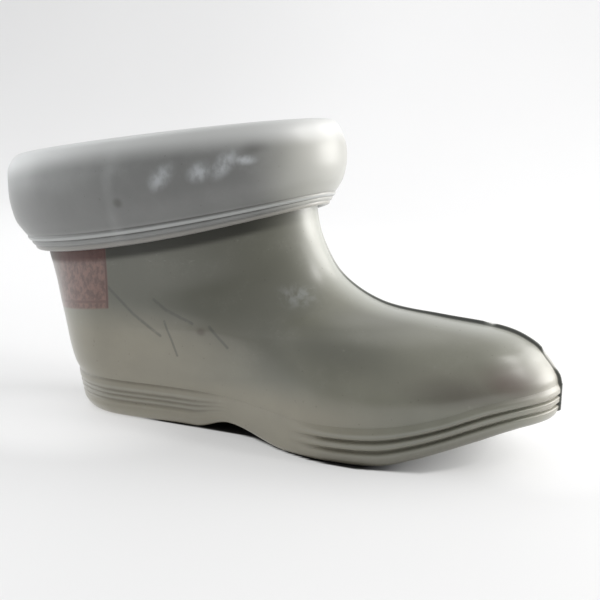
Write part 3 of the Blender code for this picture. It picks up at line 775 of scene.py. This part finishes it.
def makeCuff(rubber):
    profile, masks = cuffProfile()
    shares = roundShares(cuffShape["steps"])
    rings = np.array([cuffRing(shares, down, out) for down, out in profile])
    around = rings.shape[1]
    outward = rings - rings.mean(axis=1, keepdims=True)
    outward[:, :, 2] = 0
    outward /= np.linalg.norm(outward, axis=2, keepdims=True)
    onFlap = step(*cuffShape["swellOut"], profile[:, 1]) * (1 - step(*cuffShape["swellEnd"], profile[:, 0]))
    side = np.where(rings[:, :, 1] < 0, -1, 1)
    swell = np.zeros(rings.shape[:2])
    for dent in cuffDents:
        awayX = (rings[:, :, 0] - dent.x) / dent.spanX
        awayDown = (profile[:, :1] - dent.down) / dent.spanDown
        swell += dent.swell * np.exp(-(awayX ** 2 + awayDown ** 2)) * (side == dent.side)
    rings += outward * (swell * onFlap[:, None])[:, :, None]
    faces = bandFaces(len(rings), around, closed=True)
    masks = {name: np.repeat(values, around) for name, values in masks.items()}
    makePiece("bootCuff", rings.reshape(-1, 3), faces, masks, "cuff", [rubber])


# Outsole: ribbed side, tray inside, grooves of the tread underneath. The side by its rise and its insets.
SideStep = namedtuple("SideStep", "rise heel waist fore")
soleSide = [SideStep(*values) for values in [
    (0.00, 4.6, 3.2, 3.2), (0.03, 2.6, 1.4, 1.4), (0.11, 0.9, 0, 0), (0.24, -0.5, -0.3, -0.9),
    (0.33, -0.5, -0.3, -1), (0.39, -0.6, -0.3, 0.7), (0.46, 0, -0.3, -1.2), (0.53, -0.7, -0.3, -1.3),
    (0.60, -0.1, -0.3, -1.3), (0.66, -0.7, -0.3, 0.5), (0.72, -0.1, -0.3, -1.4), (0.80, -0.7, -0.3, -1.5),
    (0.88, -0.6, -0.3, -1.2), (0.95, -0.4, -0.2, -0.5), (1.00, 0, 0, 0),
]]
soleLook = {
    "steps": 120, "perStep": 5, "heelRibsEnd": (104, 138), "foreRibsStart": (178, 212),
    "linesEnd": (284, 316), "trayInset": 2.7, "trayRound": 2,
    "seamFoot": 0.18, "seamStart": (-0.02, 0.02), "seamDarkStart": (-0.03, 0),
    "foreGrooves": (178, 288, 10), "heelGrooves": (26, 98, 7),
    "grooveHalf": 2, "grooveSlope": 0.45, "grooveWall": (1.541, 2.441), "grooveEnd": (9.3, 10.3),
    # the tread's grooves are darkened as painted shade
    "grooveDepth": 2.5, "grooveShade": 0.8, "pointGap": 0.6, "edgeMost": 0.8,
    "acrossEdge": [0, 3, 6, 8.6, 9.4, 9.8, 10.2, 11, 15], "acrossMiddle": [0.34, 0.67, 1],
}
# Lines along the ribs: place up the side, width, painted shade where positive and painted highlight where
# negative
SoleLine = namedtuple("SoleLine", "fore rise width tone")
soleLines = [SoleLine(*values) for values in [
    (True, 0.00, 0.22, 0.85), (True, 0.27, 0.04, -0.5), (True, 0.39, 0.075, 0.55), (True, 0.53, 0.04, -0.7),
    (True, 0.66, 0.075, 0.55), (True, 0.80, 0.04, -0.9),
    (False, 0.46, 0.035, 0.6), (False, 0.53, 0.03, -0.8), (False, 0.60, 0.035, 0.6),
    (False, 0.66, 0.03, -0.8), (False, 0.72, 0.035, 0.6), (False, 0.80, 0.04, -0.7),
    (False, 0.97, 0.04, 0.45),
]]


def grooveCentres():
    return np.concatenate([np.linspace(*soleLook["foreGrooves"]), np.linspace(*soleLook["heelGrooves"])])


def soleShares():  # even places, the edges of the tread's grooves, and the toe's seam
    first = lastRows[0]
    back = first.backX + tread["heelRake"] + soleSide[0].fore
    reach = first.frontX - soleSide[0].fore - back
    half, slope = soleLook["grooveHalf"], soleLook["grooveSlope"]
    edges = [-half - slope, -half, -half + slope, half - slope, half, half + slope]
    cuts = np.sort(np.concatenate([(centre + edges - back) / reach for centre in grooveCentres()]))
    base = [share for share in seamShares(first, soleLook["steps"])
            if np.abs(cuts - share).min() > soleLook["pointGap"] / reach]
    return np.sort(np.concatenate([base, cuts]))


def sideRing(shares, place):  # a ring of the side, its rise, and where heel and fore ribs run
    row = SideStep(*tableAt(soleSide, place))
    rake = tread["heelRake"] * (1 - row.rise)

    def height(x):
        return treadHeight(x) + (rimHeight(x) - treadHeight(x)) * row.rise

    heel, waist, fore = (soleRing(shares, inset, height, rake) for inset in row[1:])
    atHeel = 1 - step(*soleLook["heelRibsEnd"], waist[:, 0])
    atFore = step(*soleLook["foreRibsStart"], waist[:, 0])
    points = waist + (heel - waist) * atHeel[:, None] + (fore - waist) * atFore[:, None]
    return points, row.rise, atHeel, atFore


def ribTones(points, rise, atHeel, atFore):  # painted shade and painted highlights along the ribs
    atFore = atFore * (1 - step(*soleLook["linesEnd"], points[:, 0]))
    dirtAndShade, pale = np.zeros(len(points)), np.zeros(len(points))
    for line in soleLines:
        weight = math.exp(-((rise - line.rise) / line.width) ** 2) * (atFore if line.fore else atHeel)
        dirtAndShade += weight * max(line.tone, 0)
        pale += weight * max(-line.tone, 0)
    return dirtAndShade, pale


def acrossRow(low, high, x):  # places across the sole and how far the tread is cut there
    half = (high - low) / 2
    edge = np.array(soleLook["acrossEdge"], dtype=float)
    edge *= min(1, soleLook["edgeMost"] * half / edge[-1])
    inward = np.append(edge, edge[-1] + (half - edge[-1]) * np.array(soleLook["acrossMiddle"]))
    across = np.concatenate([low + inward, (high - inward)[-2::-1]])
    cut = 1 - step(*soleLook["grooveWall"], np.abs(grooveCentres() - x).min())
    cut = cut * step(*soleLook["grooveEnd"], np.minimum(across - low, high - across))
    return across[1:-1], cut[1:-1]


def makeOutsole(rubber):
    shares = soleShares()
    front = len(shares) - 1
    count = 2 * front
    rings = []
    masks = {"groove": [], "ridge": [], "seam": []}
    for k in range((len(soleSide) - 1) * soleLook["perStep"] + 1):
        points, rise, atHeel, atFore = sideRing(shares, k / soleLook["perStep"])
        seam = np.zeros(count)
        aboveFoot = rise - soleLook["seamFoot"]
        for column, height, dark in seamColumns(front):
            height *= float(step(*soleLook["seamStart"], aboveFoot))
            points[column, 0] += (lastRows[0].frontX + proudToe - points[column, 0]) * height
            # the seam is painted dark here too: painted shade
            seam[column] = dark * step(*soleLook["seamDarkStart"], aboveFoot)
        rings.append(points)
        for mask, values in zip(masks.values(), (*ribTones(points, rise, atHeel, atFore), seam)):
            mask.append(values)
    inset, trayRound = soleLook["trayInset"], soleLook["trayRound"]
    rings.append(soleRing(shares, inset, rimHeight))
    rings.append(soleRing(shares, inset, lambda x: floorHeight(x) + trayRound))
    rings.append(soleRing(shares, inset + trayRound, floorHeight))
    points = list(np.concatenate(rings))
    masks = {name: list(np.concatenate(values + [np.zeros(count)] * 3)) for name, values in masks.items()}
    faces = bandFaces(len(rings), count) + acrossFaces((len(rings) - 1) * count, front)

    # underside: rows across the foot, sunk where a groove of the tread runs, and painted shade in each
    # groove
    rows = []
    for i in range(1, front):
        x, low, z = rings[0][i]
        row = [i]
        for y, cut in zip(*acrossRow(low, rings[0][count - i][1], x)):
            row.append(len(points))
            points.append(np.array([x, y, z + soleLook["grooveDepth"] * cut]))
            for name, value in (("groove", soleLook["grooveShade"] * cut), ("ridge", 0), ("seam", 0)):
                masks[name].append(value)
        rows.append(row + [count - i])
    for row, nextRow in zip(rows, rows[1:]):
        faces += [(row[k], row[k + 1], nextRow[k + 1], nextRow[k]) for k in range(len(row) - 1)]
    faces += [(0, a, b) for a, b in zip(rows[0][1:], rows[0][:-1])]
    faces += [(front, a, b) for a, b in zip(rows[-1][:-1], rows[-1][1:])]
    makePiece("bootOutsole", points, faces, masks, "outsole", [rubber])


def makeInsole(cloth):
    shares = roundShares(insoleLook["steps"])
    front = len(shares) - 1
    rings = []
    for inset, part in insoleLook["levels"]:
        points = soleRing(shares, insoleLook["inset"] + inset, floorHeight)
        points[:, 2] += insoleLook["gapUnder"] + insoleLook["thickness"] * part
        rings.append(points)
    faces = bandFaces(len(rings), 2 * front)
    for level in (0, len(rings) - 1):
        faces += acrossFaces(level * 2 * front, front)
    makePiece("bootInsole", np.concatenate(rings), faces, {}, "insole", [cloth])


print("making finishes")
bodyFinish = bodyRubber("bodyRubber")
soleFinish = bodyRubber("soleRubber")
cuffFinish = cuffRubber("cuffRubber", inside=False)
linerFinish = cuffRubber("linerRubber", inside=True)
print("making pieces")
makeUpper(bodyFinish, linerFinish)
makeCuff(cuffFinish)
makeOutsole(soleFinish)
makeInsole(insoleCloth())


# Stage: a pale floor that sweeps up behind the boot, in metres, with its painted shadows and painted light
# in millimetres
stageLook = {
    "colour": (0.50, 0.50, 0.505), "shade": (0.20, 0.20, 0.20), "below": (0.03, 0.03, 0.03),
    "half": 2.8, "front": -3, "back": 1.1, "radius": 0.9, "height": 1.3, "steps": 24, "drop": 0.0002,
    "fineX": (-200, 200, 161), "fineY": (-90, 90, 121),
    "edgeSoft": 1.2, "edgeSofter": 9, "innerEdge": (36, 42),
    "cloud": 260, "frontSlope": 0.44, "frontShade": (-330, -700), "glowStrength": 0.36,
    "backGlow": 0.2, "glowUp": (950, 1700), "glowAcross": (-1150, -450),
    # pools of painted light that brighten the floor's glow: place, half sizes and how much more
    "paintedLightPools": [(15, -70, 110, 70, 0.35), (318, 25, 60, 90, 0.35)],
}
# Contact shadow: place along the foot, its outer edge there and its strength, in the last's millimetres
contactLine = [
    (20, -30, 0), (60, -39, 0.3), (83, -39.9, 1), (110, -39.3, 1), (135, -39.5, 1), (150, -41, 1),
    (160, -46.5, 1), (171, -52.2, 1), (180, -56, 1), (195, -60.6, 1), (208, -62.3, 1), (217, -62.6, 1),
    (226, -61.5, 1), (236, -58.5, 0.9), (247, -55.5, 0.6), (258, -52, 0.4), (270, -40, 0.2),
    (284, -20, 0),
]


def contactShade(x, y):
    places, edges, darks = np.array(contactLine, dtype=float).T
    dark = np.interp(x, places, darks)
    soft = stageLook["edgeSoft"] + stageLook["edgeSofter"] * (1 - dark)
    inside = step(-0.5, 0.5, (y - np.interp(x, places, edges)) / soft)
    return dark * inside * (1 - step(*stageLook["innerEdge"], y))


def floorFinish():
    f = Finish("paleFloor")
    colour = f.tint(f.noise(stageLook["cloud"], 3) * 0.06, stageLook["colour"], stageLook["shade"])
    # painted shade toward the open front of the floor
    inFront = f.rise(f.y - f.x * stageLook["frontSlope"], *stageLook["frontShade"])
    colour = f.tint(inFront, colour, stageLook["shade"])
    # painted contact shadow under the sole, where the glow is also cut
    below = f.mask("below")
    colour = f.tint(below, colour, stageLook["below"])
    # the floor glows though it is no lamp: painted light that lifts its shadows, with painted pools of
    # light and more glow at the back
    glow = 1 - below
    for x, y, halfX, halfY, more in stageLook["paintedLightPools"]:
        away = ((f.x - (x + shift[0])) / halfX) ** 2 + ((f.y - y) / halfY) ** 2
        glow = glow * (1 + f.rise(away, 1, 0) * more)
    behind = f.rise(f.y, *stageLook["glowUp"]) * f.rise(f.x, *stageLook["glowAcross"])
    glow = glow * (1 + behind * stageLook["backGlow"])
    glow = f.add("ShaderNodeCombineColor", {}, {0: glow, 1: glow, 2: glow})
    return f.finish({"Roughness": 0.55, "Specular IOR Level": 0.3,
                     "Emission Strength": stageLook["glowStrength"]},
                    Base_Color=colour, Emission_Color=glow)


def makeStage():
    half, back, radius = (stageLook[name] for name in ("half", "back", "radius"))
    across = np.concatenate([[-half], np.linspace(*stageLook["fineX"]) * mm, [half]])
    line = [(stageLook["front"], 0)]
    line += [(y * mm, 0) for y in np.linspace(*stageLook["fineY"])]
    line.append((back, 0))
    for k in range(1, stageLook["steps"] + 1):
        angle = math.pi / 2 * k / stageLook["steps"]
        line.append((back + radius * math.sin(angle), radius * (1 - math.cos(angle))))
    line.append((line[-1][0], stageLook["height"]))
    points = np.array([(x, y, z - stageLook["drop"]) for y, z in line for x in across])
    wide = len(across)
    faces = [(k * wide + i, k * wide + i + 1, (k + 1) * wide + i + 1, (k + 1) * wide + i)
             for k in range(len(line) - 1) for i in range(wide - 1)]
    data = bpy.data.meshes.new("studioFloor")
    data.from_pydata([Vector(point) for point in points], [], faces)
    storeMask(data, "below", contactShade(points[:, 0] / mm - shift[0], points[:, 1] / mm))
    data.shade_smooth()
    data.materials.append(floorFinish())
    floor = placed("studioFloor", data)


# Lights: name, place and aim in metres, width and height, power, colour
Lamp = namedtuple("Lamp", "name place aim size power colour")
lamps = [
    Lamp("windowLight", (0.95, 0.85, 0.5), (0.08, 0, 0.07), (0.9, 1), 7.1, (1, 0.985, 0.96)),
    Lamp("lowLight", (1, 0.55, 0.25), (0.1, 0, 0.05), (0.6, 0.45), 3.6, (1, 0.985, 0.96)),
    Lamp("backdropLight", (1.3, 0.2, 1.3), (0.7, 1.9, 0.5), (0.8, 0.8), 16, (1, 0.99, 0.97)),
    Lamp("backdropLeftLight", (-0.9, 0.2, 1.3), (-0.9, 1.9, 0.6), (0.8, 0.8), 7.8, (1, 1, 1)),
]
# Air of a light tent: soft glows, each with the way it lies and its colour and strength
Glow = namedtuple("Glow", "way colour strength")
glows = [
    Glow((0.25, -0.65, 0.72), (1, 1, 0.99), 0.49),
    Glow((-1, -0.1, 0.2), (0.97, 0.99, 1), 1.57),
    Glow((-0.93, 0.36, 0.2), (0.97, 0.99, 1), 0.60),
    Glow((-0.68, 0.05, 0.73), (0.98, 0.99, 1), 0.31),
    Glow((0.1, 0.6, 0.8), (1, 1, 1), 0.94),
    Glow((0.9, 0.42, 0.2), (1, 0.99, 0.97), 1.98),
    Glow((1, 0.1, 0.2), (1, 0.99, 0.97), 0.07),
]
glowPower = 4  # how narrow a glow is


def makeLights():
    for lamp in lamps:
        data = bpy.data.lights.new(lamp.name, "AREA")
        data.shape = "RECTANGLE"
        data.size, data.size_y = lamp.size
        data.energy = lamp.power
        data.color = lamp.colour
        light = placed(lamp.name, data)
        light.location = lamp.place
        light.rotation_mode = "QUATERNION"
        light.rotation_quaternion = (Vector(lamp.aim) - Vector(lamp.place)).to_track_quat("-Z", "Y")


def makeAir():
    world = bpy.data.worlds.new("studioAir")
    world.use_nodes = True
    air = Nodes(world.node_tree)
    way = air.add("ShaderNodeTexCoord", {}, {}, "Generated")
    lit = []
    for glow in glows:
        facing = air.vector("DOT_PRODUCT", {0: way, 1: Vector(glow.way).normalized()}, "Value")
        strength = facing.most(0) ** glowPower * glow.strength
        lit.append(air.vector("SCALE", {0: glow.colour, "Scale": strength}))
    light = reduce(lambda a, b: air.vector("ADD", {0: a, 1: b}), lit)
    air.tree.links.new(light.socket, air.tree.nodes["Background"].inputs["Color"])
    bpy.context.scene.world = world


# Camera at the photograph's angle, aimed in the last's millimetres
cameraLook = {
    "azimuth": 23.759, "elevation": 10.52, "roll": 1.042, "distance": 564,
    "target": (160.97, -0.12, 78.82), "focalPixels": 903.54, "imagePixels": 600, "sensor": 36,
}


def makeCamera():
    turn, lift, roll = (math.radians(cameraLook[name]) for name in ("azimuth", "elevation", "roll"))
    back = Vector((math.sin(turn) * math.cos(lift), -math.cos(turn) * math.cos(lift), math.sin(lift)))
    right = (-back).cross(Vector((0, 0, 1))).normalized()
    up = right.cross(-back)
    leaned = right * math.cos(roll) + up * math.sin(roll)
    upright = up * math.cos(roll) - right * math.sin(roll)
    place = (Vector(cameraLook["target"]) + Vector(shift) + back * cameraLook["distance"]) * mm
    data = bpy.data.cameras.new("mainCamera")
    data.sensor_width = cameraLook["sensor"]
    data.lens = cameraLook["focalPixels"] / cameraLook["imagePixels"] * cameraLook["sensor"]
    data.clip_start = 0.01
    camera = placed("mainCamera", data)
    turned = Matrix((leaned, upright, back)).transposed().to_4x4()
    camera.matrix_world = Matrix.Translation(place) @ turned
    bpy.context.scene.camera = camera


print("making stage")
makeStage()
print("making lights and air")
makeLights()
makeAir()
print("placing camera")
makeCamera()
bpy.context.scene.view_settings.view_transform = "Standard"
